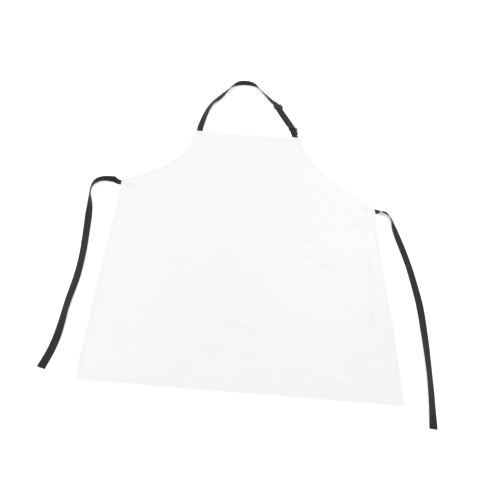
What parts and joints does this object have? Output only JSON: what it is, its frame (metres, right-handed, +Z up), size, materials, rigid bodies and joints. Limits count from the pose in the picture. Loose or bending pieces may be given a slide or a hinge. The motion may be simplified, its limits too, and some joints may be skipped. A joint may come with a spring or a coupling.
{
  "type": "butcher apron",
  "caption": "White coated bib apron lying flat, with a black webbing neck loop, a slider and ring that set its length, and long waist ties.",
  "frame": {"origin": "bottom centre of the box round the panel and neck loop, on the surface the apron lies on", "axes": "+X to the right seen from the front, +Y from the bottom hem to the neck loop, +Z up out of the apron's front face"},
  "size_m": [0.853, 1.2033, 0.0175],
  "materials": {
    "coated_sheet": "smooth white vinyl-coated sheet, low gloss",
    "webbing": "black woven polypropylene webbing",
    "moulded_plastic": "black injection-moulded acetal, satin",
    "white_thread": "white polyester sewing thread",
    "black_thread": "black polyester sewing thread"
  },
  "bodies": {
    "skirt": {"skirt_panel": "coated_sheet", "left_side_stitching": "white_thread", "right_side_stitching": "white_thread", "bottom_hem_stitching": "white_thread", "left_tie_sewn_end": "webbing", "right_tie_sewn_end": "webbing", "left_tie_anchor_stitching": "white_thread", "right_tie_anchor_stitching": "white_thread"},
    "bib": {"bib_panel": "coated_sheet", "bib_hem_stitching": "white_thread", "left_armhole_stitching": "white_thread", "right_armhole_stitching": "white_thread", "neck_strap_sewn_end": "webbing", "ring_tab_sewn_end": "webbing", "neck_strap_anchor_stitching": "white_thread", "ring_tab_anchor_stitching": "white_thread"},
    "neck_loop": {"neck_strap": "webbing", "neck_strap_return": "webbing", "ring_tab": "webbing", "ring_tab_bartack": "black_thread", "neck_ring": "moulded_plastic"},
    "slider": {"neck_slider": "moulded_plastic", "strap_end_wrap": "webbing", "strap_end_bartack": "black_thread"},
    "left_tie": {"left_waist_tie": "webbing"},
    "right_tie": {"right_waist_tie": "webbing"}
  },
  "joints": [
    {"name": "bib_fold", "type": "hinge", "parent": "skirt", "child": "bib", "pos_m": [-0.00035, 0.05767, 0.016], "axis": [1, 0, 0], "range_deg": [0, 180]},
    {"name": "neck_loop_fold", "type": "hinge", "parent": "bib", "child": "neck_loop", "pos_m": [-0.00335, 0.32867, 0.012], "axis": [0.9988, 0.0484, 0], "range_deg": [0, 180]},
    {"name": "slider_slide", "type": "slide", "parent": "neck_loop", "child": "slider", "axis": [0.386, -0.9225, 0], "range_m": [0, 0.084]},
    {"name": "left_tie_swing", "type": "hinge", "parent": "skirt", "child": "left_tie", "pos_m": [-0.40025, 0.03947, 0.008], "axis": [0, 0, -1], "range_deg": [0, 90]},
    {"name": "right_tie_swing", "type": "hinge", "parent": "skirt", "child": "right_tie", "pos_m": [0.37685, 0.02337, 0.004], "axis": [0, 0, 1], "range_deg": [0, 90]}
  ]
}
